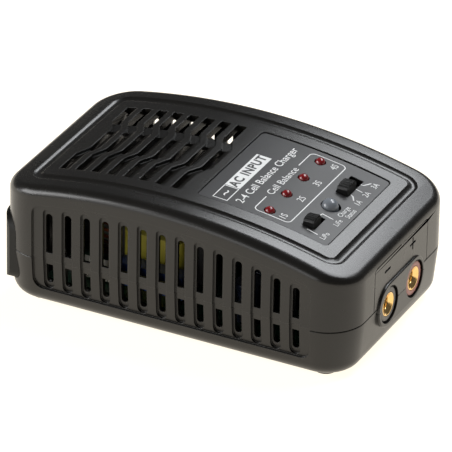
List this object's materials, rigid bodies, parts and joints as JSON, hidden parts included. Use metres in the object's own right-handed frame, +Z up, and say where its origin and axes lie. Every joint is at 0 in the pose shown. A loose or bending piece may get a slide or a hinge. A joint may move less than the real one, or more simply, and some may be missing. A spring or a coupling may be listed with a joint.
{
  "type": "balance battery charger",
  "caption": "Mains balance charger for small battery packs, with output jacks, balance sockets, cell lights, slide switches and a vented two-part case.",
  "frame": {"origin": "on the table surface under the middle of the case", "axes": "+X along the length towards the output jacks, +Z up, the fully vented long side faces -Y"},
  "size_m": [0.1112, 0.069, 0.042],
  "materials": {
    "case_plastic": "satin textured",
    "roof_plastic": "satin textured",
    "label_film": "satin film",
    "black_plastic": "satin",
    "red_plastic": "gloss",
    "gold_plate": "polished",
    "tinned_pin": "satin",
    "red_light": "clear tinted, gloss",
    "clear_light": "water clear, gloss",
    "board": "satin",
    "rubber": "matte",
    "ferrite": "matte",
    "yellow_tape": "gloss tape",
    "blue_plastic": "gloss",
    "sleeve_dark": "gloss sleeve",
    "steel": "satin",
    "alu": "satin",
    "copper": "enamelled wire",
    "ivory_plastic": "satin"
  },
  "bodies": {
    "case": {"top_shell": "roof_plastic", "bottom_shell": "case_plastic", "label_overlay": "label_film", "rear_bezel": "black_plastic", "ac_inlet_body": "black_plastic", "ac_inlet_pins": "tinned_pin", "jack_sleeve_positive": "gold_plate", "jack_sleeve_negative": "gold_plate", "jack_ring_positive": "red_plastic", "jack_ring_negative": "black_plastic", "jack_nuts": "steel", "cell_light_1": "red_light", "cell_light_2": "red_light", "cell_light_3": "red_light", "cell_light_4": "red_light", "status_light": "clear_light", "chemistry_switch_body": "steel", "current_switch_body": "steel", "control_board": "board", "board_link": "black_plastic", "main_board": "board", "board_screws": "steel", "case_screws": "steel", "rubber_feet": "rubber", "balance_socket_3pin": "ivory_plastic", "balance_socket_4pin": "ivory_plastic", "balance_socket_5pin": "ivory_plastic", "balance_socket_pins": "tinned_pin", "transformer_core": "ferrite", "transformer_winding": "yellow_tape", "filter_capacitor": "blue_plastic", "bulk_capacitor": "sleeve_dark", "output_capacitors": "sleeve_dark", "bridge_rectifier": "black_plastic", "line_fuse": "ivory_plastic", "line_choke_core": "ferrite", "line_choke_winding": "copper", "output_inductor": "ferrite", "heat_sink": "alu", "power_transistor": "black_plastic"},
    "chemistry_knob": {"chemistry_switch_knob": "black_plastic"},
    "current_knob": {"current_switch_knob": "black_plastic"}
  },
  "joints": [
    {"name": "chemistry_switch_slide", "type": "slide", "parent": "case", "child": "chemistry_knob", "axis": [0, 1, 0], "range_m": [0, 0.002]},
    {"name": "current_switch_slide", "type": "slide", "parent": "case", "child": "current_knob", "axis": [0, 1, 0], "range_m": [0, 0.004]}
  ]
}
